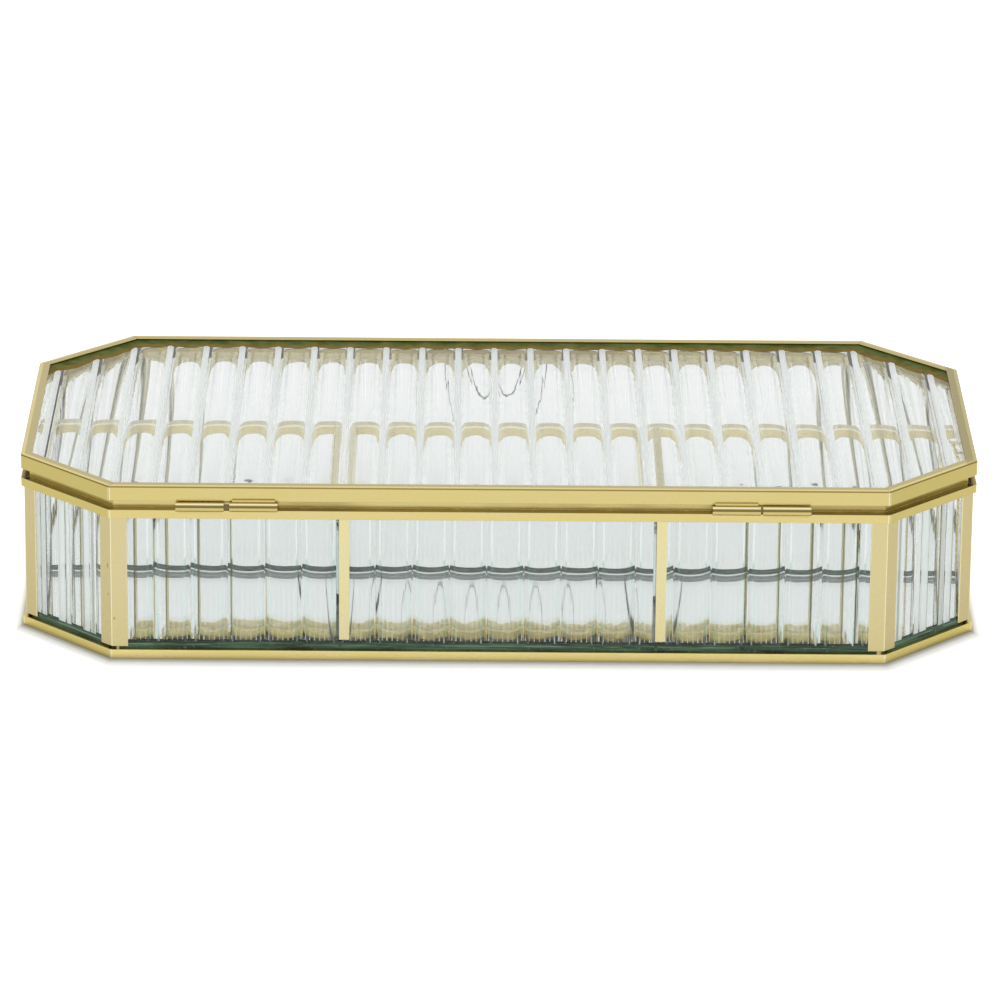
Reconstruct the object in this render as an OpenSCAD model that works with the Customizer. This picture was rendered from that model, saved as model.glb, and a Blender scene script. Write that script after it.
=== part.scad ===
// Eight-sided jewelry box of fluted glass in a soldered brass frame.
// The origin is under the middle of the box, on the surface it stands on.
// +X runs along the box, +Z is up, and the hinges are at the back, on the -Y side.
// All sizes are in millimetres. The lid is closed.

/* [Outline] */
// Length over the frame
box_length = 254; // [200:1:320]
// Depth over the frame, without the hinges
box_depth = 125.2; // [100:0.2:160]
// Height with the lid closed
box_height = 48.4; // [44:0.1:60]
// Length cut off each side at a corner
corner_cut = 24.7; // [20:0.1:30]

/* [Brass frame] */
// Thickness of the bent brass strip
strip = 0.5; // [0.4:0.05:0.6]
// Height of the lid frame's outer face
lid_face = 4.1; // [3.5:0.1:5]
// Width of the lid frame's top flange
lid_flange = 3.0; // [2.5:0.1:4]
// Open joint between the lid frame and the top rail
lid_gap = 2.55; // [2.5:0.05:2.8]
// Height of the top rail's outer face
rail_face = 2.35; // [2:0.05:3]
// Depth of the top rail's ledge, in front of its upright rim
rail_ledge = 2.3; // [2:0.1:2.6]
// Height of the bottom rail's outer face
foot_face = 2.5; // [2:0.1:3]
// Width of each leg of a corner post
post_leg = 4.3; // [3.5:0.1:5]
// Width of the two posts between the back panes
mid_post = 2.7; // [2:0.1:4]
// Height of the lower ends of those two posts above the bottom rail
mid_post_lift = 2.9; // [0.1:0.1:5]

/* [Glass] */
// Thickness of the fluted glass at its ridges
pane = 3.2; // [3:0.1:4]
// Distance between ridges in the wall panes
wall_pitch = 9.8; // [8:0.05:11]
// Distance between ridges in the lid pane
lid_pitch = 10.05; // [8:0.05:11]
// Radius of one hollow flute
flute_radius = 11.5; // [11:0.5:20]
// Height of the mirror's underside above the table
mirror_lift = 0.15; // [0.05:0.05:0.5]
// Thickness of the divider glass
divider = 2; // [1.5:0.5:2.5]

/* [Compartments] */
// Distance of each short divider from the middle of the box
divider_x = 41.7; // [30:0.1:60]
// Space between the top of the dividers and the lower edge of the lid frame
divider_drop = 1.5; // [0.6:0.1:8]
// Width of the channel that caps a divider
cap_width = 3.4; // [3.4:0.1:4]
// Height of the channel that caps a divider
cap_height = 2.8; // [2:0.1:4]

/* [Hinges] */
// Middle of the left hinge, from the left-hand end of the frame
left_hinge_inset = 55.6; // [42:0.1:77]
// Middle of the right hinge, from the right-hand end of the frame
right_hinge_inset = 58.3; // [42:0.1:77]
// Space between the two knuckles of the left hinge
left_hinge_gap = 1.5; // [0.4:0.1:2]
// Space between the two knuckles of the right hinge
right_hinge_gap = 0.6; // [0.4:0.1:2]
// Length of one knuckle
knuckle_length = 12.6; // [10:0.1:16]
// Outer diameter of a knuckle
knuckle_diameter = 2.5; // [2.2:0.1:2.5]
// Diameter of the hinge pin
pin_diameter = 1.5; // [1.2:0.1:1.6]

/* [Pull] */
// Width of the pull's wire loop, from middle to middle of the wire
pull_width = 26; // [16:0.5:40]
// Length of the straight legs above the loop's half circle
pull_leg = 3; // [1:0.1:8]
// Distance of the loop from the lid frame's face
pull_standoff = 3.1; // [2.5:0.1:6]
// Radius of the bends that turn the legs to the frame
pull_bend = 1.2; // [0.8:0.1:2]
// Thickness of the pull's wire
pull_wire = 0.9; // [0.6:0.1:1.5]

/* [Stay chain] */
// How far the chain lets the lid turn, in degrees
lid_open = 100; // [95:1:105]
// Distance of the chain from the right-hand end of the frame
chain_inset = 5.8; // [5.8:0.1:17]
// Space between the hanging chain and the mirror, which sets where the chain is fixed
chain_clearance = 6.42; // [5:0.01:14]
// Distance along the end between the chain's two fixings
anchor_step = 3; // [2.5:0.1:5]
// Thickness of the chain wire
wire = 0.5; // [0.4:0.05:0.5]

/* [Hidden] */
$fn = 64;

brass = [0.84, 0.77, 0.50];
glass = [0.84, 0.90, 0.88, 0.45];
silver = [0.75, 0.78, 0.77];
steel = [0.55, 0.55, 0.54];

// Small clearances
slip = 0.05;
mitre_gap = 0.02;
ridge_blunt = 0.06;

// Heights
lid_bottom = box_height - lid_face;
rail_top = lid_bottom - lid_gap;
rail_bottom = rail_top - rail_face;
rim_top = lid_bottom - 0.4;
divider_top = lid_bottom - divider_drop;
floor_z = foot_face - strip - slip;
mirror_plate = floor_z - mirror_lift;
pane_bottom = foot_face + slip;
pane_top = rail_top - strip - 0.1;

// Distances inward from the outline
post_inset = 0.8;
pane_inset = post_inset + strip + slip;
pane_inner = pane_inset + pane;
lid_pane_inset = strip + 0.2;
mirror_inset = strip + 0.2;
foot_ledge = pane_inner - slip;

// Web of a post between two back panes, and the room it takes from the middle of the post
web = 0.6;
web_room = web / 2 + 0.1;

// Slope of a mitre between two sides that meet at 135 degrees
half_turn = tan(22.5);

// Flute section: thinnest in the middle of a flute, thickest at a ridge
function flute_depth(pitch) = flute_radius - sqrt(flute_radius * flute_radius - pitch * pitch / 4);

// Ridge positions: where one ridge of a pane lies, measured from the middle of the box
lid_ridge = -1.1;
back_left_ridge = -71.5;
back_middle_ridge = -3.2;
back_right_ridge = 75.5;

// Hinge axis: just outside the frame, halfway up the open joint
hinge_out = 0.85;
hinge_y = -box_depth / 2 - hinge_out;
hinge_z = rail_top + lid_gap / 2;
left_hinge_x = left_hinge_inset - box_length / 2;
right_hinge_x = box_length / 2 - right_hinge_inset;

// Stay chain: solder beads, and the halves of the chain that hang from them
links = 16;
bead = 0.75;
tongue = 0.4;
chain_x = box_length / 2 - chain_inset;
tongue_z = lid_bottom - 0.1;
lid_anchor_z = tongue_z + 0.15 - bead;
box_anchor_z = rail_top + 0.85;
half_gap = 0.15;
chain_length = 2 * (box_anchor_z - floor_z - chain_clearance + half_gap);

// The fixings lie as far in front of the hinge as leaves the chain taut when the lid is open:
// the chain spans [turn_y * reach + shift_y, turn_z * reach + shift_z] between them
lid_rise = lid_anchor_z - hinge_z;
box_rise = box_anchor_z - hinge_z;
turn_y = cos(lid_open) - 1;
turn_z = sin(lid_open);
shift_y = anchor_step * cos(lid_open) - lid_rise * sin(lid_open);
shift_z = anchor_step * sin(lid_open) + lid_rise * cos(lid_open) - box_rise;
turn_square = turn_y * turn_y + turn_z * turn_z;
turn_shift = turn_y * shift_y + turn_z * shift_z;
short_square = chain_length * chain_length - shift_y * shift_y - shift_z * shift_z;
reach = (sqrt(turn_shift * turn_shift + turn_square * short_square) - turn_shift) / turn_square;
box_anchor_y = hinge_y + reach;
lid_anchor_y = box_anchor_y + anchor_step;
strand_start = bead + 0.06 + wire / 2;
strand_end = chain_length / 2 - half_gap - wire / 2;
link_bend = 0.7;
link_length = 2.6;
link_pitch = (strand_end - strand_start - link_length) / (links - 1);

// The eight sides, counted from the back round past the right-hand end
function side_length(side) =
    side % 2 == 1 ? corner_cut * sqrt(2)
    : side % 4 == 0 ? box_length - 2 * corner_cut
    : box_depth - 2 * corner_cut;
function side_middle(side) =
    let (out_x = (box_length - (side % 2) * corner_cut) / 2)
    let (out_y = (box_depth - (side % 2) * corner_cut) / 2)
    [
        side % 4 == 0 ? 0 : side < 4 ? out_x : -out_x,
        side % 4 == 2 ? 0 : side < 2 || side > 6 ? -out_y : out_y
    ];

// Stands its children on a side: x along the side, y inward, z up
module on_side(side) {
    translate([side_middle(side)[0], side_middle(side)[1], 0])
        rotate([0, 0, 45 * side])
            children();
}

// The space of one side between its two mitres
module mitre_space(side) {
    half = side_length(side) / 2 - mitre_gap;
    reach = 14;
    on_side(side)
        linear_extrude(height = box_height + 1)
            polygon([[-half, 0], [half, 0], [half - reach * half_turn, reach], [-half + reach * half_turn, reach]]);
}

// Runs a section along a side and mitres both ends; the section has x inward and y up
module mitred_run(side) {
    intersection() {
        on_side(side)
            rotate([90, 0, 90])
                linear_extrude(height = side_length(side), center = true)
                    children();
        mitre_space(side);
    }
}

// The outline, moved inward
module outline(inset) {
    x = box_length / 2 - inset;
    y = box_depth / 2 - inset;
    cut = corner_cut - inset * (2 - sqrt(2));
    polygon([
        [cut - x, -y], [x - cut, -y], [x, cut - y], [x, y - cut],
        [x - cut, y], [cut - x, y], [-x, y - cut], [-x, cut - y]
    ]);
}

// Flat sheet with hollow flutes on its +y face, from x = start to x = end
module fluted_section(start, end, ridge, pitch) {
    depth = flute_depth(pitch);
    first = floor((start - ridge) / pitch);
    last = ceil((end - ridge) / pitch);
    difference() {
        translate([start, 0])
            square([end - start, pane - ridge_blunt]);
        for (k = [first : last - 1])
            translate([ridge + (k + 0.5) * pitch, pane - depth + flute_radius])
                circle(r = flute_radius);
    }
}

// ---------- Lid ----------

module lid_glass() {
    color(glass)
        intersection() {
            translate([0, box_depth / 2, box_height - strip])
                rotate([90, 0, 0])
                    linear_extrude(height = box_depth)
                        mirror([0, 1])
                            fluted_section(-box_length / 2, box_length / 2, lid_ridge, lid_pitch);
            linear_extrude(height = box_height)
                outline(lid_pane_inset);
        }
}

module lid_rail(side) {
    color(brass)
        mitred_run(side)
            translate([0, box_height]) {
                translate([strip, -strip])
                    square([lid_flange - strip, strip]);
                translate([0, -lid_face])
                    square([strip, lid_face - strip]);
                intersection() {
                    translate([strip, -strip])
                        circle(r = strip);
                    translate([0, -strip])
                        square(strip);
                }
            }
}

// ---------- Base frame ----------

module top_rail(side) {
    rim = rail_ledge + strip;
    color(brass)
        mitred_run(side)
            polygon([
                [0, rail_bottom], [strip, rail_bottom], [strip, rail_top - strip], [rim, rail_top - strip],
                [rim, rim_top], [rail_ledge, rim_top], [rail_ledge, rail_top], [0, rail_top]
            ]);
}

module bottom_rail(side) {
    color(brass)
        mitred_run(side)
            polygon([
                [0, 0], [strip, 0], [strip, foot_face - strip], [foot_ledge, foot_face - strip],
                [foot_ledge, foot_face], [0, foot_face]
            ]);
}

// A point given along a side and inward from it, on the plan of the box
function on_plan(side, along, inward) =
    side_middle(side) + [
        along * cos(45 * side) - inward * sin(45 * side),
        along * sin(45 * side) + inward * cos(45 * side)
    ];

// Bent strip round the corner between a side and the next one
module corner_post(side) {
    bottom = foot_face + 0.6;
    top = rail_top - strip - slip;
    next = (side + 1) % 8;
    end = side_length(side) / 2 - post_inset * half_turn;
    start = post_inset * half_turn - side_length(next) / 2;
    inner = post_inset + strip;
    color(brass)
        translate([0, 0, bottom])
            linear_extrude(height = top - bottom)
                polygon([
                    on_plan(side, end - post_leg, post_inset), on_plan(side, end, post_inset),
                    on_plan(next, start + post_leg, post_inset), on_plan(next, start + post_leg, inner),
                    on_plan(side, end - strip * half_turn, inner), on_plan(side, end - post_leg, inner)
                ]);
}

// Angle post between two back panes: its web is at x and its face covers the edge of the right-hand pane
module mid_post(x) {
    bottom = foot_face + mid_post_lift;
    top = rail_top - strip - slip;
    color(brass)
        translate([x, -box_depth / 2, bottom])
            linear_extrude(height = top - bottom) {
                translate([-web / 2, post_inset])
                    square([mid_post, strip]);
                translate([-web / 2, post_inset + strip])
                    square([web, pane]);
            }
}

// ---------- Wall panes ----------

// A wall pane of a side, from start to end along the side, flutes inward
module wall_pane(side, start, end, ridge) {
    color(glass)
        on_side(side)
            translate([0, pane_inset, pane_bottom])
                linear_extrude(height = pane_top - pane_bottom)
                    fluted_section(start, end, ridge, wall_pitch);
}

// Half the width that a pane has between its neighbours
function half_pane(side) = side_length(side) / 2 - pane_inner * half_turn - 0.3;

module whole_pane(side, ridge = 0) {
    wall_pane(side, -half_pane(side), half_pane(side), ridge);
}

// ---------- Floor and dividers ----------

module mirror_floor() {
    color(silver)
        translate([0, 0, mirror_lift])
            linear_extrude(height = mirror_plate)
                outline(mirror_inset);
}

// Glass strip standing on the mirror, from y = start to y = end, along the y axis
module divider_sheet(start, end) {
    bottom = floor_z + slip;
    translate([-divider / 2, start, bottom])
        cube([divider, end - start, divider_top - strip - slip - bottom]);
}

// Channel over a divider, from y = start to y = end, along the y axis
module cap_channel(start, end) {
    inner = cap_width - 2 * strip;
    translate([0, end, divider_top - cap_height])
        rotate([90, 0, 0])
            linear_extrude(height = end - start)
                difference() {
                    translate([-cap_width / 2, 0])
                        square([cap_width, cap_height]);
                    translate([-inner / 2, -1])
                        square([inner, cap_height - strip + 1]);
                }
}

long_half = box_length / 2 - pane_inner - 0.15;
short_back = pane_inner + 0.15 - box_depth / 2;

module divider_long() {
    color(glass)
        rotate([0, 0, 90])
            divider_sheet(-long_half, long_half);
}

// Its top corner is notched to pass under the long divider's cap
module divider_short(side) {
    front = -divider / 2 - slip;
    notch = cap_width / 2 + slip;
    color(glass)
        translate([side * divider_x, 0, 0])
            difference() {
                divider_sheet(short_back, front);
                translate([-divider, -notch, divider_top - cap_height - slip])
                    cube([2 * divider, notch, cap_height]);
            }
}

module divider_cap_long() {
    color(brass)
        rotate([0, 0, 90])
            cap_channel(-long_half, long_half);
}

module divider_cap_short(side) {
    color(brass)
        translate([side * divider_x, 0, 0])
            cap_channel(short_back, -cap_width / 2 - slip);
}

// ---------- Hinges ----------

// Distance of a knuckle's middle from the middle of its hinge
function knuckle_step(gap) = (gap + knuckle_length) / 2;

// Tube knuckle with its solder seam; up = 1 joins the lid frame, up = -1 the top rail
module knuckle(x, up) {
    seam_length = knuckle_length - 1.4;
    seam_reach = 0.6;
    edge = lid_gap / 2;
    color(brass)
        translate([x, hinge_y, hinge_z])
            difference() {
                union() {
                    rotate([0, 90, 0])
                        cylinder(d = knuckle_diameter, h = knuckle_length, center = true);
                    translate([-seam_length / 2, hinge_out - seam_reach, up > 0 ? 0.7 : -edge - 0.6])
                        cube([seam_length, seam_reach, edge + 0.6 - 0.7]);
                }
                rotate([0, 90, 0])
                    cylinder(d = pin_diameter + 2 * slip, h = knuckle_length + 1, center = true);
            }
}

module lid_knuckles() {
    knuckle(left_hinge_x + knuckle_step(left_hinge_gap), 1);
    knuckle(right_hinge_x - knuckle_step(right_hinge_gap), 1);
}

module base_knuckles() {
    knuckle(left_hinge_x - knuckle_step(left_hinge_gap), -1);
    knuckle(right_hinge_x + knuckle_step(right_hinge_gap), -1);
}

module hinge_pins() {
    color(brass)
        for (hinge = [[left_hinge_x, left_hinge_gap], [right_hinge_x, right_hinge_gap]])
            translate([hinge[0], hinge_y, hinge_z])
                rotate([0, 90, 0])
                    cylinder(d = pin_diameter, h = 2 * knuckle_length + hinge[1] - 0.4, center = true);
}

// ---------- Pull ----------

// Wire loop that hangs in front of the box, with its two feet on the face of the lid's front strip
module lid_pull() {
    half = pull_width / 2;
    foot_z = box_height - lid_face / 2;
    leg_top = foot_z - pull_bend;
    foot_length = pull_standoff - pull_bend - slip;
    color(steel)
        translate([0, box_depth / 2 + pull_standoff, leg_top])
            union() {
                translate([0, 0, -pull_leg])
                    rotate([-90, 0, 0])
                        rotate_extrude(angle = 180)
                            translate([half, 0])
                                circle(d = pull_wire);
                for (x = [-half, half])
                    translate([x, 0, 0]) {
                        translate([0, 0, -pull_leg])
                            cylinder(d = pull_wire, h = pull_leg);
                        translate([0, -pull_bend, 0])
                            rotate([90, 0, 90])
                                rotate_extrude(angle = 90)
                                    translate([pull_bend, 0])
                                        circle(d = pull_wire);
                        translate([0, -pull_bend, pull_bend])
                            rotate([90, 0, 0])
                                cylinder(d = pull_wire, h = foot_length);
                    }
            }
}

// ---------- Stay chain ----------

// Oval link in the xz plane, hanging down from the origin
module chain_link() {
    straight = link_length - 2 * link_bend;
    rotate([90, 0, 0]) {
        translate([0, -link_bend])
            rotate_extrude(angle = 180)
                translate([link_bend, 0])
                    circle(d = wire);
        translate([0, link_bend - link_length])
            rotate([0, 0, 180])
                rotate_extrude(angle = 180)
                    translate([link_bend, 0])
                        circle(d = wire);
        for (x = [-link_bend, link_bend])
            translate([x, -link_bend, 0])
                rotate([90, 0, 0])
                    cylinder(d = wire, h = straight);
    }
}

// Half of the chain, hanging straight down from a bead
module chain_strand(y, z) {
    color(brass)
        translate([chain_x, y, z - strand_start])
            for (k = [0 : links - 1])
                translate([0, 0, -k * link_pitch])
                    rotate([0, 0, 90 * (k % 2)])
                        chain_link();
}

// Solder bead under a tongue that is fixed to the lid's skirt
module lid_chain_anchor() {
    width = 1.6;
    tongue_end = chain_x - width / 2;
    color(brass)
        union() {
            translate([tongue_end, lid_anchor_y - width / 2, tongue_z])
                cube([box_length / 2 - strip - tongue_end, width, tongue]);
            translate([chain_x, lid_anchor_y, lid_anchor_z])
                sphere(r = bead);
        }
}

// Solder bead on a stub from the top rail's rim; the bead is turned so that its seam is clear of the stub
module box_chain_anchor() {
    rim_face = box_length / 2 - rail_ledge - strip;
    color(brass)
        union() {
            translate([chain_x, box_anchor_y, box_anchor_z])
                rotate([0, 90, 0])
                    cylinder(r = 0.35, h = rim_face - chain_x);
            translate([chain_x, box_anchor_y, box_anchor_z])
                rotate([0, 0, 90])
                    sphere(r = bead);
        }
}

lid_glass();
lid_rail(0);  // lid_rail_back
lid_rail(1);  // lid_rail_back_right
lid_rail(2);  // lid_rail_right
lid_rail(3);  // lid_rail_front_right
lid_rail(4);  // lid_rail_front
lid_rail(5);  // lid_rail_front_left
lid_rail(6);  // lid_rail_left
lid_rail(7);  // lid_rail_back_left
lid_knuckles();
lid_chain_anchor();
lid_pull();
top_rail(0);  // top_rail_back
top_rail(1);  // top_rail_back_right
top_rail(2);  // top_rail_right
top_rail(3);  // top_rail_front_right
top_rail(4);  // top_rail_front
top_rail(5);  // top_rail_front_left
top_rail(6);  // top_rail_left
top_rail(7);  // top_rail_back_left
bottom_rail(0);  // bottom_rail_back
bottom_rail(1);  // bottom_rail_back_right
bottom_rail(2);  // bottom_rail_right
bottom_rail(3);  // bottom_rail_front_right
bottom_rail(4);  // bottom_rail_front
bottom_rail(5);  // bottom_rail_front_left
bottom_rail(6);  // bottom_rail_left
bottom_rail(7);  // bottom_rail_back_left
corner_post(0);  // post_back_right
corner_post(1);  // post_right_back
corner_post(2);  // post_right_front
corner_post(3);  // post_front_right
corner_post(4);  // post_front_left
corner_post(5);  // post_left_front
corner_post(6);  // post_left_back
corner_post(7);  // post_back_left
mid_post(-divider_x);  // mid_post_left
mid_post(divider_x);  // mid_post_right
wall_pane(0, -half_pane(0), -divider_x - web_room, back_left_ridge);  // pane_back_left
wall_pane(0, web_room - divider_x, divider_x - web_room, back_middle_ridge);  // pane_back_middle
wall_pane(0, divider_x + web_room, half_pane(0), back_right_ridge);  // pane_back_right
whole_pane(4);  // pane_front
whole_pane(6);  // pane_left
whole_pane(2);  // pane_right
whole_pane(1);  // pane_corner_back_right
whole_pane(3);  // pane_corner_front_right
whole_pane(5);  // pane_corner_front_left
whole_pane(7);  // pane_corner_back_left
mirror_floor();
divider_long();
divider_short(-1);  // divider_short_left
divider_short(1);  // divider_short_right
divider_cap_long();
divider_cap_short(-1);  // divider_cap_short_left
divider_cap_short(1);  // divider_cap_short_right
base_knuckles();
hinge_pins();
box_chain_anchor();
chain_strand(lid_anchor_y, lid_anchor_z);  // chain_upper
chain_strand(box_anchor_y, box_anchor_z);  // chain_lower
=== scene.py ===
"""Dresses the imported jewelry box: fluted glass, soldered brass, mirror floor and stay chain.

All lengths are in metres, in the frame of the CAD model: +X along the box, +Z up, hinges on the -Y side.
"""
import math

import bmesh
import bpy
from mathutils import Matrix, Vector


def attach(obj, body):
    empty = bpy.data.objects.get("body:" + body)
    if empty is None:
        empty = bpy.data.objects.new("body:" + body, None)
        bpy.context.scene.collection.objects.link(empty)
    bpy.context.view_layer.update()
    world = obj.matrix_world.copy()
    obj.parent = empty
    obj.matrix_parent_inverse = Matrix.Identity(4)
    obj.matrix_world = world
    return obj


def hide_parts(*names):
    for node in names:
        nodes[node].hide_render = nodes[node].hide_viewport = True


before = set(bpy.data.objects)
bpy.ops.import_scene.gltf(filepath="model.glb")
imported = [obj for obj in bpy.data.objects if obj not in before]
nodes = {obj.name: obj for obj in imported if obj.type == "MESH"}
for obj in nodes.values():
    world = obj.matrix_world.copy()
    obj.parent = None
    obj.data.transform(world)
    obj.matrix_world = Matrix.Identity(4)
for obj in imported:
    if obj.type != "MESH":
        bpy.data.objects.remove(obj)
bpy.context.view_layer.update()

MM = 0.001
SLANT = math.sqrt(0.5)
HALF_TURN = math.tan(math.radians(22.5))

# The box, as the solids have it
BOX_LENGTH = 254 * MM
BOX_DEPTH = 125.2 * MM
CORNER_CUT = 24.7 * MM
RAIL_TOP = 41.75 * MM
PANE = 3.2 * MM
PANE_INSET = 1.35 * MM
PANE_BOTTOM = 2.55 * MM
PANE_TOP = 41.15 * MM
LID_TOP = 47.9 * MM
LID_INSET = 0.7 * MM
MIRROR_BOTTOM = 0.15 * MM
MIRROR_TOP = 1.95 * MM
MIRROR_INSET = 0.7 * MM
MID_POST_X = 41.7 * MM
CORNER_REACH = (BOX_LENGTH + BOX_DEPTH) / 2 - CORNER_CUT

# Flutes: radius of the hollows and of the ridges between them, pitch, and one ridge of each pane along its side
FLUTE_RADIUS = 11.5 * MM
LID_FLUTE_RADIUS = 15 * MM
RIDGE_RADIUS = 0.5 * MM
WALL_PITCH = 9.8 * MM
LID_PITCH = 10.05 * MM
LID_RIDGE = -1.1 * MM
BACK_RIDGES = {"left": -71.5 * MM, "middle": -3.2 * MM, "right": 75.5 * MM}
CORNER_RIDGES = {"corner_back_left": -3.35 * MM, "corner_back_right": -1.0 * MM}
FLUTE_STEPS = 40
RIDGE_STEPS = 8

# ---------------------------------------------------------------- camera

CAMERA_PLACE = Vector((-9.47, -1572.66, 591.63)) * MM
CAMERA_FORWARD = Vector((0.00597395, 0.94032261, -0.34023185))
CAMERA_UP = Vector((-0.00715835, 0.34026941, 0.94030074))
CAMERA_LENS = 220.93

camera = bpy.data.objects.new("camera", bpy.data.cameras.new("camera"))
camera.data.lens = CAMERA_LENS
camera.data.sensor_width = 36
camera.data.sensor_fit = "HORIZONTAL"
camera.data.clip_start = 0.05
camera.data.clip_end = 50
right = CAMERA_FORWARD.cross(CAMERA_UP).normalized()
up = right.cross(CAMERA_FORWARD).normalized()
turn = Matrix((right, up, -CAMERA_FORWARD.normalized())).transposed()
camera.matrix_world = Matrix.Translation(CAMERA_PLACE) @ turn.to_4x4()
bpy.context.scene.collection.objects.link(camera)
bpy.context.scene.camera = camera

scene = bpy.context.scene
scene.view_settings.view_transform = "Standard"
scene.cycles.max_bounces = 32
scene.cycles.transmission_bounces = 28
scene.cycles.glossy_bounces = 16
scene.cycles.diffuse_bounces = 8
scene.cycles.transparent_max_bounces = 16
scene.cycles.caustics_refractive = True
scene.cycles.caustics_reflective = True
scene.cycles.blur_glossy = 0.3


# ---------------------------------------------------------------- node helpers

# Scales of all noise, in waves per metre
GRAIN = {
    "smudge": 55, "drawn line": 5200, "speck": 900, "swell": 260, "inner patch": 160, "rim shade patch": 14, "pit": 420,
    "top edge": 500, "edge streak": 420, "edge chip": 1300, "edge sway": 75, "edge line": 60,
    "glass wave": 70, "glass streak": 1500, "glass ripple": 500, "band patch": 230, "band rim": 320,
    "glint streak": 900, "glint line": 560, "wire": 600, "silver": 30, "paint": 700,
}


class Graph:
    """A short way to write a node tree, or to add to one."""

    def __init__(self, tree, clear=True):
        self.tree = tree
        if clear:
            tree.nodes.clear()

    def add(self, kind, **settings):
        node = self.tree.nodes.new(kind)
        for name, value in settings.items():
            setattr(node, name, value)
        return node

    def put(self, socket, value):
        if hasattr(value, "is_output"):
            self.tree.links.new(value, socket)
        else:
            socket.default_value = value

    def math(self, operation, a, b=0.0, clamp=False):
        node = self.add("ShaderNodeMath", operation=operation, use_clamp=clamp)
        self.put(node.inputs[0], a)
        self.put(node.inputs[1], b)
        return node.outputs[0]

    def mix_colour(self, factor, a, b, blend="MIX"):
        node = self.add("ShaderNodeMix", data_type="RGBA", blend_type=blend)
        self.put(node.inputs[0], factor)
        self.put(node.inputs[6], a)
        self.put(node.inputs[7], b)
        return node.outputs[2]

    def ramp(self, value, low, high, to_low=0.0, to_high=1.0):
        node = self.add("ShaderNodeMapRange")
        for socket, number in zip(node.inputs, (value, low, high, to_low, to_high)):
            self.put(socket, number)
        return node.outputs[0]

    def where(self):
        """Object coordinates, one by one."""
        return self.split(self.add("ShaderNodeTexCoord").outputs["Object"])

    def facing(self):
        """The direction that a face looks in, in the frame of its own piece."""
        return self.split(self.add("ShaderNodeTexCoord").outputs["Normal"])

    def place(self, scale=(1, 1, 1), turn_z=0.0, shift=(0, 0, 0)):
        """Object coordinates, turned about Z first and then scaled, so that x runs along a strip."""
        where = self.add("ShaderNodeTexCoord").outputs["Object"]
        turned = self.add("ShaderNodeVectorRotate", rotation_type="Z_AXIS")
        self.put(turned.inputs["Vector"], where)
        self.put(turned.inputs["Angle"], -turn_z)
        sized = self.add("ShaderNodeMapping")
        self.put(sized.inputs["Vector"], turned.outputs[0])
        sized.inputs["Scale"].default_value = scale
        sized.inputs["Location"].default_value = shift
        return sized.outputs[0]

    def noise(self, vector, grain, detail=2.0, rough=0.5):
        """Noise at one of the scales of GRAIN."""
        node = self.add("ShaderNodeTexNoise")
        self.put(node.inputs["Vector"], vector)
        self.put(node.inputs["Scale"], GRAIN[grain])
        self.put(node.inputs["Detail"], detail)
        self.put(node.inputs["Roughness"], rough)
        return node.outputs[0]

    def split(self, vector):
        node = self.add("ShaderNodeSeparateXYZ")
        self.put(node.inputs[0], vector)
        return node.outputs

    def band(self, value, low, high, soft):
        """1 between low and high, fading to 0 over the soft width outside them."""
        rise = self.ramp(value, low - soft, low)
        fall = self.ramp(value, high, high + soft, 1.0, 0.0)
        return self.math("MULTIPLY", rise, fall)

    def inset(self, end_scale=1.0, corner_scale=1.0):
        """Distance inward from the outline of the box, at any height; the scales stretch it at ends and corners."""
        where = self.where()
        x, y = self.math("ABSOLUTE", where["X"]), self.math("ABSOLUTE", where["Y"])
        to_end = self.math("MULTIPLY", self.math("SUBTRACT", BOX_LENGTH / 2, x), end_scale)
        to_side = self.math("SUBTRACT", BOX_DEPTH / 2, y)
        slant = self.math("SUBTRACT", CORNER_REACH, self.math("ADD", x, y))
        to_corner = self.math("MULTIPLY", slant, SLANT * corner_scale)
        return self.math("MINIMUM", self.math("MINIMUM", to_end, to_side), to_corner)

    def tint(self, colour, mask, shade):
        """Multiplies a colour by one of the SHADES where the mask is 1."""
        return self.mix_colour(mask, colour, (*SHADES[shade], 1), "MULTIPLY")

    def bump(self, height, strength, distance, under=None):
        node = self.add("ShaderNodeBump")
        self.put(node.inputs["Strength"], strength)
        self.put(node.inputs["Distance"], distance)
        self.put(node.inputs["Height"], height)
        if under is not None:
            self.put(node.inputs["Normal"], under)
        return node.outputs[0]


def new_material(name):
    material = bpy.data.materials.new(name)
    material.use_nodes = True
    graph = Graph(material.node_tree)
    surface = graph.add("ShaderNodeBsdfPrincipled")
    out = graph.add("ShaderNodeOutputMaterial")
    graph.put(out.inputs["Surface"], surface.outputs[0])
    return material, graph, surface, out


# ---------------------------------------------------------------- brass

BRASS = (0.730, 0.607, 0.240, 1)
BRASS_PALE = (0.765, 0.655, 0.300, 1)
BRASS_DEEP = (0.690, 0.545, 0.190, 1)
BRASS_POST = (0.720, 0.625, 0.335, 1)
# Painted shade on the lid rails' inner side, under the glass
INNER_SHADE_GREEN = (0.075, 0.110, 0.030, 1)
INNER_SHADE_BROWN = (0.190, 0.140, 0.035, 1)

SATIN, SATIN_POST, POLISHED, DULL = 0.26, 0.28, 0.20, 0.34
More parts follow.
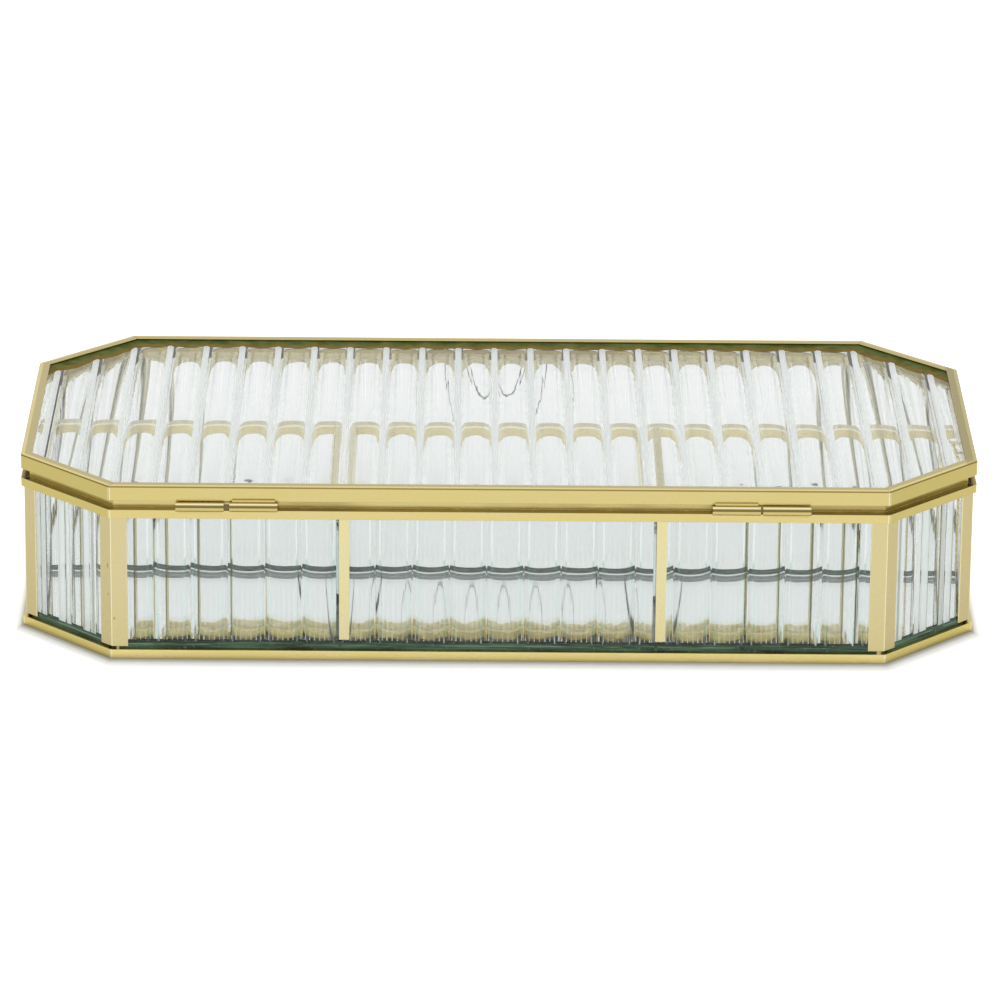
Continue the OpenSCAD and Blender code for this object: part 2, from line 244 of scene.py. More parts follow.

# What the colour of the brass is multiplied by, place by place: painted shade and painted highlights where light
# falls on the rails, posts and caps; the pits are real dark marks, and the middle posts are simply lighter
SHADES = {
    "corner wall": (0.80, 0.80, 0.68),
    # painted highlight where the rails meet at the mitres
    "painted mitre highlight": (1.30, 1.40, 2.10),
    "lid flange": (0.84, 0.83, 0.88),
    "lid flange edge": (1.42, 1.46, 1.50),
    "lid flange at the right": (0.70, 0.72, 0.66),
    "lid fold": (0.52, 0.46, 0.36),
    "top wall": (1.06, 1.05, 1.06),
    "top ledge": (0.52, 0.47, 0.34),
    "top rim": (0.96, 0.96, 0.98),
    # painted shade on the rim of the top rails, in broad patches
    "rim shade patches": (0.62, 0.55, 0.42),
    "bottom wall": (1.32, 1.32, 1.34),
    "post slant": (0.86, 0.85, 0.84),
    "post fold": (1.28, 1.38, 1.75),
    "middle post": (1.16, 1.20, 1.25),
    "post pit": (0.50, 0.46, 0.40),
    "cap top": (0.84, 0.85, 0.92),
    "cap fold": (1.34, 1.54, 3.0),
}

# Where zones of the brass begin and are full: heights, distances inward from the outline or from the middle
FOLD_LOW, FOLD_HIGH = 47.95 * MM, 48.28 * MM
FLANGE_EDGE_LOW, FLANGE_EDGE_HIGH = 0.2 * MM, 1.0 * MM
FLANGE_RIGHT_LOW, FLANGE_RIGHT_HIGH = 123.5 * MM, 124.2 * MM
RIM_LOW, RIM_HIGH = 1.8 * MM, 2.0 * MM
MITRE_LOW, MITRE_HIGH = 0.28 * MM, 0.42 * MM
INNER_LOW, INNER_HIGH = 0.36 * MM, 0.42 * MM
CAP_FOLD_LOW, CAP_FOLD_HIGH = 42.30 * MM, 42.40 * MM
MID_POST_LOW, MID_POST_HIGH = 60 * MM, 70 * MM
# A post's faces by the size of their normal along Y: 1 at the back or front, 0.71 across a corner, 0 at an end, and
# between these on the rounded folds
POST_SLANT = (0.72, 0.76, 1.0, 0.0)
POST_FOLDS = ((0.76, 0.975, 0.01), (0.08, 0.66, 0.02))
# The hinge pins' brass is darkened as painted shade, for the narrow gaps between the knuckles where they show
PIN_SHADE = 0.28


def brass_base(name, turn_z, roughness, plain=BRASS):
    """Satin strip: drawn lines along the strip, faint smudges and small dull specks."""
    material, g, surface, _ = new_material(name)
    surface.inputs["Metallic"].default_value = 1.0
    smudge = g.ramp(g.noise(g.place(), "smudge", 4, 0.6), 0.38, 0.68)
    fine = g.noise(g.place((0.02, 1, 1), turn_z), "drawn line", 2, 0.6)
    speck = g.ramp(g.noise(g.place(shift=(3, 1, 2)), "speck", 2, 0.5), 0.70, 0.78)
    colour = g.mix_colour(g.math("MULTIPLY", smudge, 0.55), plain, BRASS_PALE)
    colour = g.mix_colour(g.math("MULTIPLY", speck, 0.35), colour, BRASS_DEEP)
    rough = g.math("ADD", g.ramp(smudge, 0, 1, roughness - 0.05, roughness + 0.06),
                   g.ramp(fine, 0.3, 0.7, -0.04, 0.04))
    g.put(surface.inputs["Roughness"], rough)
    soft = g.bump(g.noise(g.place((0.25, 1, 1), turn_z), "swell", 2, 0.5), 0.10, 0.6 * MM)
    g.put(surface.inputs["Normal"], g.bump(fine, 0.10, 0.04 * MM, soft))
    return material, g, surface, colour


def mitre_distance(g, turn, angle):
    """Distance along a rail from its mitred end, for the rails that run at 45 degrees times turn."""
    if turn % 2:
        away, half = CORNER_REACH * SLANT, CORNER_CUT * SLANT
        shift = (BOX_LENGTH - BOX_DEPTH) / 2 * SLANT
    else:
        away = (BOX_LENGTH if turn else BOX_DEPTH) / 2
        half = (BOX_DEPTH if turn else BOX_LENGTH) / 2 - CORNER_CUT
        shift = 0.0
    strip = g.split(g.place(turn_z=angle))
    along = g.math("ABSOLUTE", g.math("SUBTRACT", g.math("ABSOLUTE", strip["X"]), shift))
    inward = g.math("SUBTRACT", away, g.math("ABSOLUTE", strip["Y"]))
    return g.math("SUBTRACT", g.math("SUBTRACT", half, g.math("MULTIPLY", inward, HALF_TURN)), along)


def rail_material(kind, turn):
    """Brass of the rails that run at 45 degrees times turn: painted shade in their folds and hollows, painted light
    and shade on their faces, and a painted highlight where they meet.
    """
    angle = math.radians(45 * turn)
    material, g, surface, colour = brass_base(f"brass_{kind}_{45 * turn}", angle, SATIN)
    where, inset, up = g.where(), g.inset(), g.ramp(g.facing()["Z"], 0.7, 0.85)
    height, wall = where["Z"], g.math("SUBTRACT", 1.0, up)
    if turn % 2:
        # Painted shade on the walls of the corner rails
        colour = g.tint(colour, wall, "corner wall")
    outside = g.ramp(inset, 0.1 * MM, 0.2 * MM, 1.0, 0.0)
    mitre = mitre_distance(g, turn, angle)
    # Painted highlight on the outer faces where the rails meet at the mitres
    mitre_glint = g.math("MULTIPLY", g.ramp(mitre, MITRE_LOW, MITRE_HIGH, 1.0, 0.0), outside)
    if kind == "lid":
        # Painted shade on the flange's top, darker at the right-hand end, with a painted highlight near its outer
        # edge and a painted dark line along the fold
        colour = g.tint(colour, up, "lid flange")
        edge = g.band(inset, FLANGE_EDGE_LOW, FLANGE_EDGE_HIGH, 0.2 * MM)
        colour = g.tint(colour, g.math("MULTIPLY", up, edge), "lid flange edge")
        right_end = g.ramp(where["X"], FLANGE_RIGHT_LOW, FLANGE_RIGHT_HIGH)
        colour = g.tint(colour, g.math("MULTIPLY", up, right_end), "lid flange at the right")
        fold = g.math("MULTIPLY", g.band(height, FOLD_LOW, FOLD_HIGH, 0.06 * MM), wall)
        colour = g.tint(colour, fold, "lid fold")
        # Painted shade on the inner side, just under the glass, dark green and brown in patches
        inner = g.math("MULTIPLY", g.ramp(inset, INNER_LOW, INNER_HIGH),
                       g.ramp(height, LID_TOP - 0.1 * MM, LID_TOP - 0.02 * MM, 1.0, 0.0))
        patch = g.ramp(g.noise(g.place(), "inner patch", 3, 0.6), 0.40, 0.62)
        colour = g.mix_colour(inner, colour, g.mix_colour(patch, INNER_SHADE_GREEN, INNER_SHADE_BROWN))
    elif kind == "top":
        # Painted light on the outer wall of the top rails, and painted shade on their ledge and rim
        uneven = g.noise(g.place(), "rim shade patch", 3, 0.6)
        colour = g.tint(colour, g.math("MULTIPLY", outside, wall), "top wall")
        colour = g.tint(colour, up, "top ledge")
        # Painted shade on the rim, darker in broad patches along it
        rim = g.math("MULTIPLY", g.ramp(inset, RIM_LOW, RIM_HIGH),
                     g.ramp(height, RAIL_TOP + 0.05 * MM, RAIL_TOP + 0.2 * MM))
        colour = g.tint(colour, rim, "top rim")
        rim_shade = g.math("MULTIPLY", rim, g.ramp(uneven, 0.50, 0.62, 0.0, 0.75))
        colour = g.tint(colour, rim_shade, "rim shade patches")
    else:
        # Painted light: the walls of the bottom rails made lighter
        colour = g.tint(colour, wall, "bottom wall")
    g.put(surface.inputs["Base Color"], g.tint(colour, mitre_glint, "painted mitre highlight"))
    return material


def post_material():
    """Brass of the posts: paler, with painted shade on their slanting faces, a painted highlight on their folds,
    lighter middle posts and a few dark pits.
    """
    material, g, surface, colour = brass_base("brass_post", math.radians(90), SATIN_POST, BRASS_POST)
    look = g.facing()
    side, level = g.math("ABSOLUTE", look["Y"]), g.math("ABSOLUTE", look["Z"])
    flat = g.ramp(level, 0.3, 0.5, 1.0, 0.0)
    # Painted shade on the slanting faces, and a painted highlight on the folds
    colour = g.tint(colour, g.math("MULTIPLY", g.ramp(side, *POST_SLANT), flat), "post slant")
    fold = g.math("ADD", *(g.band(side, *fold) for fold in POST_FOLDS), clamp=True)
    colour = g.tint(colour, g.math("MULTIPLY", fold, flat), "post fold")
    middle = g.ramp(g.math("ABSOLUTE", g.where()["X"]), MID_POST_LOW, MID_POST_HIGH, 1.0, 0.0)
    colour = g.tint(colour, middle, "middle post")
    pit = g.ramp(g.noise(g.place((1, 1, 0.7), shift=(1, 7, 4)), "pit", 1, 0.4), 0.735, 0.765)
    g.put(surface.inputs["Base Color"], g.tint(colour, pit, "post pit"))
    return material


# Painted shade of a knuckle from its underside (0) round to its top (1), dark bands with a bright painted highlight
# line
KNUCKLE_SHADES = ((0.00, (0.26, 0.22, 0.12)), (0.14, (0.30, 0.25, 0.14)), (0.19, (0.98, 0.97, 0.95)),
                  (0.51, (0.94, 0.92, 0.87)), (0.57, (0.36, 0.31, 0.18)), (0.78, (0.42, 0.37, 0.22)),
                  (0.855, (1.30, 1.45, 2.40)), (0.95, (1.30, 1.45, 2.40)), (0.99, (0.70, 0.64, 0.45)))


def knuckle_material():
    """Brass of the hinges, with painted shade and a painted highlight round their barrels."""
    material, g, surface, colour = brass_base("brass_knuckle", 0.0, POLISHED)
    ramp = g.add("ShaderNodeValToRGB")
    g.put(ramp.inputs[0], g.ramp(g.facing()["Z"], -1.0, 1.0))
    stops = ramp.color_ramp.elements
    while len(stops) < len(KNUCKLE_SHADES):
        stops.new(1.0)
    for stop, (place, shade) in zip(stops, KNUCKLE_SHADES):
        stop.position = place
        stop.color = (*shade, 1)
    g.put(surface.inputs["Base Color"], g.mix_colour(1.0, colour, ramp.outputs[0], "MULTIPLY"))
    return material


def cap_material(turn):
    """Brass of the channels on the dividers: painted shade on their tops, and a painted highlight along the upper
    edge of their sides.
    """
    material, g, surface, colour = brass_base(f"brass_cap_{45 * turn}", math.radians(45 * turn), SATIN)
    up = g.math("ABSOLUTE", g.facing()["Z"])
    # Painted shade on the tops, and a painted highlight along the upper edge of the sides
    colour = g.tint(colour, g.ramp(up, 0.9, 0.98), "cap top")
    fold = g.math("MULTIPLY", g.ramp(g.where()["Z"], CAP_FOLD_LOW, CAP_FOLD_HIGH), g.ramp(up, 0.90, 0.94, 1.0, 0.0))
    g.put(surface.inputs["Base Color"], g.tint(colour, fold, "cap fold"))
    return material


def brass_material(name, roughness, shade=1.0):
    """Plain brass for the small parts."""
    material, g, surface, colour = brass_base(name, 0.0, roughness)
    g.put(surface.inputs["Base Color"], g.mix_colour(1.0, colour, (shade, shade, shade, 1), "MULTIPLY"))
    return material


# ---------------------------------------------------------------- glass, mirror and wire

GLASS_IOR = 1.52
GLASS_BODY = (0.42, 0.80, 0.72, 1)
GLASS_DENSITY = 5.0
GLASS_CLEAR = (0.990, 0.998, 0.997, 1)
GLASS_STREAK = (0.962, 0.975, 0.974, 1)
# Colours of the painted glint on the ridges, white that stands in for light caught in the glass
RIDGE_GLINT = (0.97, 0.98, 0.97, 1)
RIDGE_GLINT_STREAK = (0.88, 0.91, 0.90, 1)
RIDGE_GLINT_WARM = (1.0, 0.940, 0.930, 1)
RIDGE_GLINT_DARK_LINE = (0.34, 0.36, 0.24, 1)
EDGE_DARK = (0.005, 0.022, 0.010, 1)
EDGE_GREEN = (0.075, 0.165, 0.095, 1)
EDGE_LIGHT = (0.190, 0.300, 0.215, 1)
EDGE_LIFT = (0.055, 0.075, 0.065, 1)
# Colours of the upper edges of the wall panes: a painted reflection of the brass
TOP_EDGE = (0.62, 0.58, 0.38, 1)
TOP_EDGE_LIGHT = (0.78, 0.74, 0.54, 1)
WIRE_DARK = (0.10, 0.10, 0.097, 1)
WIRE_LIGHT = (0.17, 0.166, 0.158, 1)
SILVER = (0.955, 0.965, 0.960, 1)
SILVER_DULL = (0.93, 0.945, 0.94, 1)
PAINT_DARK = (0.20, 0.20, 0.19, 1)
PAINT_LIGHT = (0.27, 0.26, 0.25, 1)
# Colours of the painted shade band on the lid's glass
BAND_GREEN = (0.060, 0.082, 0.006, 1)
BAND_GREEN_LIGHT = (0.125, 0.165, 0.040, 1)
BAND_BROWN = (0.165, 0.100, 0.000, 1)
BAND_BROWN_LIGHT = (0.230, 0.165, 0.015, 1)

# Height of the dark cut edge at the foot of each kind of pane
WALL_EDGE = 4.45 * MM
FRONT_EDGE = 3.45 * MM
DIVIDER_EDGE = 3.05 * MM

# The painted shade band on the lid's glass: how far in it reaches, and what that loses in waves and at each ridge
BAND_REACH = 9.1 * MM
BAND_WAVE = 0.45 * MM
BAND_NOTCH = 0.7 * MM
BAND_GREEN_FROM = 2.2 * MM
BAND_GREEN_TO = 3.8 * MM

# Directions in which streaks run: along the flutes of the walls (upright) and of the lid (front to back)
UPRIGHT = (1, 1, 0.004)
FRONT_TO_BACK = (1, 0.004, 1)

# Heights between which the painted white lines beside the ridges fade, as the mirror's far edge shows through there
MIRROR_EDGE_LOW, MIRROR_EDGE_HIGH = 22.4 * MM, 26.8 * MM
# How those lines grow stronger with height, first above the foot and then near the top
QUIET_FOOT = (8 * MM, 12 * MM, 0.08, 0.50)
QUIET_TOP = (24 * MM, 30 * MM, 0.0, 0.30)


def edge_surface(g, stretch, lighter=False):
    """Cut edge of a sheet, seen through the glass: dark green with a light wavy line and small chips."""
    surface = g.add("ShaderNodeBsdfPrincipled")
    streak = g.noise(g.place(stretch), "edge streak", 4, 0.6)
    chip = g.ramp(g.noise(g.place(shift=(5, 2, 1)), "edge chip", 2, 0.5), 0.64, 0.70)
    colour = g.mix_colour(g.ramp(streak, 0.36, 0.62), EDGE_DARK, EDGE_GREEN)
    colour = g.mix_colour(g.math("MULTIPLY", chip, 0.45), colour, EDGE_LIGHT)
    if lighter:
        colour = g.mix_colour(1.0, colour, EDGE_LIFT, "ADD")
    surface.inputs["Roughness"].default_value = 0.18
    g.put(surface.inputs["Normal"], g.bump(streak, 0.35, 0.3 * MM))
    return surface, colour


def pale_edge_material():
    """Upper edge of a wall pane, under the frame: the brass's colour painted on as a painted reflection, with a faint
    glow as painted light.
    """
    material, g, surface, _ = new_material("pale_edge")
    tone = g.noise(g.place(), "top edge", 3, 0.6)
    colour = g.mix_colour(tone, TOP_EDGE, TOP_EDGE_LIGHT)
    g.put(surface.inputs["Base Color"], colour)
    # A faint glow, as painted light
    g.put(surface.inputs["Emission Color"], colour)
    surface.inputs["Emission Strength"].default_value = 0.35
    surface.inputs["Roughness"].default_value = 0.3
    g.put(surface.inputs["Normal"], g.bump(tone, 0.3, 0.2 * MM))
    return material


def make_clear(surface):
    """Sets a surface to clear glass, all but its colour."""
    surface.inputs["Roughness"].default_value = 0.0
    surface.inputs["IOR"].default_value = GLASS_IOR
    surface.inputs["Transmission Weight"].default_value = 1.0


def glass_material(name, wave=0.10, streak_scale=None, edge_height=0.0, edge_sway=0.0, edge_lighter=False):
    """Clear glass with a faint green body colour, rolling streaks and, at its foot, its dark cut edge."""
    material, g, surface, out = new_material(name)
    make_clear(surface)
    normal = g.bump(g.noise(g.place(), "glass wave", 2, 0.45), wave, 0.6 * MM)
    if streak_scale:
        streak = g.noise(g.place(streak_scale), "glass streak", 3, 0.7)
        g.put(surface.inputs["Base Color"], g.mix_colour(g.ramp(streak, 0.42, 0.66), GLASS_CLEAR, GLASS_STREAK))
        normal = g.bump(g.noise(g.place(streak_scale), "glass ripple", 2, 0.5), 0.05, 0.3 * MM, normal)
    else:
        surface.inputs["Base Color"].default_value = GLASS_CLEAR
    g.put(surface.inputs["Normal"], normal)
    body = g.add("ShaderNodeVolumeAbsorption")
    body.inputs["Color"].default_value = GLASS_BODY
    body.inputs["Density"].default_value = GLASS_DENSITY
    g.put(out.inputs["Volume"], body.outputs[0])
    if edge_height:
        edge, colour = edge_surface(g, (0.16, 0.16, 3), edge_lighter)
        sway = g.math("SUBTRACT", g.noise(g.place((1, 1, 0)), "edge sway", 3, 0.6), 0.5)
        sway = g.math("MULTIPLY", sway, edge_sway)
        level = g.math("SUBTRACT", g.where()["Z"], sway)
        line_level = g.math("ABSOLUTE", g.math("SUBTRACT", level, 0.58 * edge_height + 1.1 * MM))
        line = g.ramp(line_level, 0.12 * MM, 0.26 * MM, 0.85, 0.0)
        broken = g.ramp(g.noise(g.place((1, 1, 0), shift=(7, 3, 0)), "edge line", 2, 0.5), 0.46, 0.56)
        colour = g.mix_colour(g.math("MULTIPLY", line, broken), colour, EDGE_LIGHT)
        g.put(edge.inputs["Base Color"], colour)
        low = g.math("LESS_THAN", level, edge_height)
        both = g.add("ShaderNodeMixShader")
        g.put(both.inputs[0], low)
        g.put(both.inputs[1], surface.outputs[0])
        g.put(both.inputs[2], edge.outputs[0])
        g.put(out.inputs["Surface"], both.outputs[0])
    return material


def paint_lid_shade_band(material):
    """Painted shade on top of the lid's glass along the front and its corners, for the frame's shaded inside: green,
    then brown to a wavy end.
    """
    g = Graph(material.node_tree, clear=False)
    out = next(node for node in g.tree.nodes if node.type == "OUTPUT_MATERIAL")
    glass = out.inputs["Surface"].links[0].from_socket
    where = g.where()
    to_front = g.math("SUBTRACT", BOX_DEPTH / 2, where["Y"])
    slant = g.math("SUBTRACT", CORNER_REACH, g.math("ADD", g.math("ABSOLUTE", where["X"]), where["Y"]))
    across = g.math("MINIMUM", to_front, g.math("MULTIPLY", slant, SLANT))
    turns = g.math("MULTIPLY", g.math("SUBTRACT", where["X"], LID_RIDGE), 2 * math.pi / LID_PITCH)
    wave = g.math("COSINE", turns)
    patch = g.ramp(g.noise(g.place(shift=(4, 2, 0)), "band patch", 3, 0.6), 0.35, 0.65)
    rough = g.math("MULTIPLY", g.math("SUBTRACT", g.noise(g.place(), "band rim", 2, 0.5), 0.5), 1.2 * MM)
    notch = g.ramp(wave, 0.86, 0.97, 0.0, BAND_NOTCH)
    reach = g.math("SUBTRACT", g.math("SUBTRACT", BAND_REACH, g.math("MULTIPLY", wave, BAND_WAVE)), notch)
    left = g.math("SUBTRACT", reach, g.math("ADD", across, rough))
    on_top = g.math("GREATER_THAN", where["Z"], LID_TOP - 0.3 * MM)
    green = g.mix_colour(patch, BAND_GREEN, BAND_GREEN_LIGHT)
    brown = g.mix_colour(patch, BAND_BROWN, BAND_BROWN_LIGHT)
    band = g.add("ShaderNodeBsdfPrincipled")
    g.put(band.inputs["Base Color"], g.mix_colour(g.ramp(left, BAND_GREEN_FROM, BAND_GREEN_TO), brown, green))
    band.inputs["Specular IOR Level"].default_value = 0.03
    band.inputs["Roughness"].default_value = 0.35
    both = g.add("ShaderNodeMixShader")
    g.put(both.inputs[0], g.math("MULTIPLY", g.ramp(left, 0.0, 0.35 * MM), on_top))
    g.put(both.inputs[1], glass)
    g.put(both.inputs[2], band.outputs[0])
    g.put(out.inputs["Surface"], both.outputs[0])


def cut_edge_material():
    """The sawn edges of the panes."""
    material, g, _, out = new_material("cut_edge")
    edge, colour = edge_surface(g, (1, 1, 1))
    g.put(edge.inputs["Base Color"], colour)
    g.put(out.inputs["Surface"], edge.outputs[0])
    return material


def ridge_material(name, share, glow, stretch, line=0.0, glint_colour=RIDGE_GLINT, quiet=False):
    """Ridge flank of fluted glass, which gathers light and looks white: glass mixed with a painted glint, a white
    sheen with its own glow that stands in for the light caught in the glass.

    The glint takes a share of it. A dark line can run along it, and a quiet one fades where darker things show.
    """
    material, g, surface, out = new_material(name)
    surface.inputs["Base Color"].default_value = GLASS_CLEAR
    make_clear(surface)
    streak = g.noise(g.place(stretch), "glint streak", 3, 0.65)
    colour = g.mix_colour(g.ramp(streak, 0.50, 0.70), glint_colour, RIDGE_GLINT_STREAK)
    if line:
        thin = g.ramp(g.noise(g.place(stretch, shift=(2, 5, 1)), "glint line", 2, 0.5), 0.57, 0.64)
        colour = g.mix_colour(g.math("MULTIPLY", thin, line), colour, RIDGE_GLINT_DARK_LINE)
    under = g.add("ShaderNodeBsdfTranslucent")
    g.put(under.inputs["Color"], colour)
    over = g.add("ShaderNodeBsdfDiffuse")
    g.put(over.inputs["Color"], colour)
    glint = g.add("ShaderNodeMixShader")
    glint.inputs[0].default_value = 0.5
    g.put(glint.inputs[1], under.outputs[0])
    g.put(glint.inputs[2], over.outputs[0])
    # Painted light: the glint glows on its own
    shine = g.add("ShaderNodeEmission")
    g.put(shine.inputs["Color"], colour)
    shine.inputs["Strength"].default_value = glow
    lit = g.add("ShaderNodeAddShader")
    g.put(lit.inputs[0], glint.outputs[0])
    g.put(lit.inputs[1], shine.outputs[0])
    both = g.add("ShaderNodeMixShader")
    if quiet:
        height = g.where()["Z"]
        strong = g.math("ADD", g.ramp(height, *QUIET_FOOT), g.ramp(height, *QUIET_TOP))
        faded = g.ramp(g.band(height, MIRROR_EDGE_LOW, MIRROR_EDGE_HIGH, 0.6 * MM), 0.0, 1.0, 1.0, 0.12)
        share = g.math("MULTIPLY", g.math("MULTIPLY", strong, faded), share)
    g.put(both.inputs[0], share)
    g.put(both.inputs[1], surface.outputs[0])
    g.put(both.inputs[2], lit.outputs[0])
    g.put(out.inputs["Surface"], both.outputs[0])
    return material


def steel_material():
    """Dulled drawn wire."""
    material, g, surface, _ = new_material("steel_wire")
    surface.inputs["Metallic"].default_value = 1.0
    dull = g.noise(g.place(), "wire", 3, 0.6)
    g.put(surface.inputs["Base Color"], g.mix_colour(dull, WIRE_DARK, WIRE_LIGHT))
    g.put(surface.inputs["Roughness"], g.ramp(dull, 0.3, 0.7, 0.28, 0.42))
    return material


def silver_material():
    """Silvered face of the mirror."""
    material, g, surface, _ = new_material("silvering")
    surface.inputs["Metallic"].default_value = 1.0
    dull = g.ramp(g.noise(g.place(), "silver", 3, 0.6), 0.4, 0.7)
    g.put(surface.inputs["Base Color"], g.mix_colour(dull, SILVER, SILVER_DULL))
    g.put(surface.inputs["Roughness"], g.ramp(dull, 0, 1, 0.0, 0.03))
    return material


def backing_material():
    """Paint on the mirror's back."""
    material, g, surface, _ = new_material("mirror_paint")
    grain = g.noise(g.place(), "paint", 3, 0.6)
    g.put(surface.inputs["Base Color"], g.mix_colour(grain, PAINT_DARK, PAINT_LIGHT))
    surface.inputs["Roughness"].default_value = 0.6
    g.put(surface.inputs["Normal"], g.bump(grain, 0.2, 0.1 * MM))
    return material


rail_brass = {kind: [rail_material(kind, turn) for turn in range(4)] for kind in ("lid", "top", "bottom")}
post_brass = post_material()
knuckle_brass = knuckle_material()
cap_brass = [cap_material(turn) for turn in (0, 2)]
brass_fine = brass_material("brass_fine", POLISHED)
# Dull brass for the hinge pins, darkened as painted shade
brass_dull_shaded = brass_material("brass_dull_shaded", DULL, PIN_SHADE)
glass_wall = glass_material("glass_wall", 0.10, UPRIGHT, WALL_EDGE, 0.5 * MM)
glass_front = glass_material("glass_front", 0.10, UPRIGHT, FRONT_EDGE, 0.3 * MM)
glass_lid = glass_material("glass_lid", 0.10, FRONT_TO_BACK)
paint_lid_shade_band(glass_lid)
glass_divider = glass_material("glass_divider", 0.05, None, DIVIDER_EDGE, 0.3 * MM, True)
glass_mirror = glass_material("glass_mirror", 0.05)
cut_edge = cut_edge_material()
pale_edge = pale_edge_material()
ridge_bright = ridge_material("ridge_bright", 0.90, 0.51, FRONT_TO_BACK)
ridge_line = ridge_material("ridge_line", 0.58, 0.90, UPRIGHT, 0.0, RIDGE_GLINT_WARM, True)
ridge_flank = ridge_material("ridge_flank", 0.88, 0.46, UPRIGHT, 0.7)
silvering = silver_material()
mirror_paint = backing_material()
steel_wire = steel_material()


# ---------------------------------------------------------------- outline of the box

# The eight sides from the back round past the right-hand end, and which way each lies from the middle of the box
SIDES = ("back", "back_right", "right", "front_right", "front", "front_left", "left", "back_left")
ACROSS = (0, 1, 1, 1, 0, -1, -1, -1)
ALONG = (-1, -1, 0, 1, 1, 1, 0, -1)


def side_length(side):
    """Length of a side of the outline."""
    if side % 2:
        return CORNER_CUT * math.sqrt(2)
    return (BOX_LENGTH if side % 4 == 0 else BOX_DEPTH) - 2 * CORNER_CUT


def side_frame(side):
    """(middle of a side, direction along it, direction inward), counted from the back as in the CAD."""
    angle = math.radians(45 * side)
    along = Vector((math.cos(angle), math.sin(angle), 0))
    inward = Vector((-math.sin(angle), math.cos(angle), 0))
    cut = CORNER_CUT * (side % 2)
    return Vector((ACROSS[side] * (BOX_LENGTH - cut) / 2, ALONG[side] * (BOX_DEPTH - cut) / 2, 0)), along, inward


def outline(inset):
    """Corners of the box's outline, moved inward."""
    x, y = BOX_LENGTH / 2 - inset, BOX_DEPTH / 2 - inset
    cut = CORNER_CUT - inset * (2 - math.sqrt(2))
    corners = [(x - cut, -y), (x, cut - y), (x, y - cut), (x - cut, y)]
    return corners + [(-a, -b) for a, b in corners]


# ---------------------------------------------------------------- mesh helpers

SHARP = math.radians(30)
CLOSE = 0.05 * MM


def finish_piece(bm, name, body, materials, replaced=()):
    """Turns a bmesh into a piece that rides on a body and may stand for nodes of the CAD."""
    bmesh.ops.recalc_face_normals(bm, faces=bm.faces)
    for face in bm.faces:
        face.smooth = True
    for edge in bm.edges:
        edge.smooth = len(edge.link_faces) == 2 and edge.calc_face_angle() < SHARP
    mesh = bpy.data.meshes.new(name)
    bm.to_mesh(mesh)
    bm.free()
    piece = bpy.data.objects.new(name, mesh)
    scene.collection.objects.link(piece)
    for material in materials:
        mesh.materials.append(material)
    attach(piece, body)
    if replaced:
        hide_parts(*replaced)


def between(a, b):
    """Rows of corners of the faces between two closed rings of vertices."""
    count = len(a)
    return [(a[i], a[(i + 1) % count], b[(i + 1) % count], b[i]) for i in range(count)]


# ---------------------------------------------------------------- fluted glass

def flute_stations(start, end, ridge, pitch, radius):
    """(x, thickness) along a fluted pane: hollow arcs that meet in rounded ridges."""
    depth = radius - math.sqrt(radius ** 2 - pitch ** 2 / 4)
    arc_height = PANE - depth + radius
    reach = math.asin(pitch / 2 / (radius + RIDGE_RADIUS))
    ridge_height = arc_height - (radius + RIDGE_RADIUS) * math.cos(reach)
    first, last = math.floor((start - ridge) / pitch), math.ceil((end - ridge) / pitch)
    stations = []
    for k in range(first, last + 1):
        top = ridge + k * pitch
        for i in range(1, RIDGE_STEPS):
            angle = reach * (2 * i / RIDGE_STEPS - 1)
            stations.append((top + RIDGE_RADIUS * math.sin(angle), ridge_height + RIDGE_RADIUS * math.cos(angle)))
        middle = top + pitch / 2
        for i in range(FLUTE_STEPS + 1):
            angle = reach * (2 * i / FLUTE_STEPS - 1)
            stations.append((middle + radius * math.sin(angle), arc_height - radius * math.cos(angle)))
    stations.sort()

    def thickness(x):
        for (x0, t0), (x1, t1) in zip(stations, stations[1:]):
            if x0 <= x <= x1:
                return t0 + (t1 - t0) * (x - x0) / max(x1 - x0, 1e-9)
        return stations[-1][1]

    kept = [(x, t) for x, t in stations if start + CLOSE < x < end - CLOSE]
    return [(start, thickness(start))] + kept + [(end, thickness(end))]


def from_ridge(x, ridge, pitch):
    """Distance from the nearest ridge."""
    along = (x - ridge) / pitch
    return abs(along - round(along)) * pitch


def sheet_between(bm, stations, corner, tone, far_edge=1):
    """A closed sheet through the stations; corner(x, thickness, end) gives a point at end 0 or 1 of the extrusion.

    Its cut edges take material 1, the one at end 1 far_edge, and tone(x) gives the material of the fluted face.
    """
    rings, x_of = [], {}
    for x, t in stations:
        rings.append([bm.verts.new(corner(x, *spot)) for spot in ((0, 0), (t, 0), (t, 1), (0, 1))])
        x_of[rings[-1][0]] = x
    for a, b in zip(rings, rings[1:]):
        for i in range(4):
            j = (i + 1) % 4
            face = bm.faces.new((a[i], b[i], b[j], a[j]))
            face.material_index = (1, tone((x_of[a[0]] + x_of[b[0]]) / 2), far_edge, 0)[i]
    bm.faces.new(rings[0]).material_index = 1
    bm.faces.new(reversed(rings[-1])).material_index = 1


# Zones of painted glint, white that stands in for light caught in the ridges, as distances from the nearest ridge: on
# plain panes, on corner panes and on the lid
WALL_GLINT = (1.0 * MM, 1.45 * MM)
CORNER_GLINT = (0.2 * MM, 2.5 * MM)
LID_GLINT = 0.8 * MM

PANE_GAP = 0.3 * MM
WEB_ROOM = 0.4 * MM


def half_pane(side):
    """Half the length of the pane that fills a side."""
    return side_length(side) / 2 - (PANE_INSET + PANE) * HALF_TURN - PANE_GAP


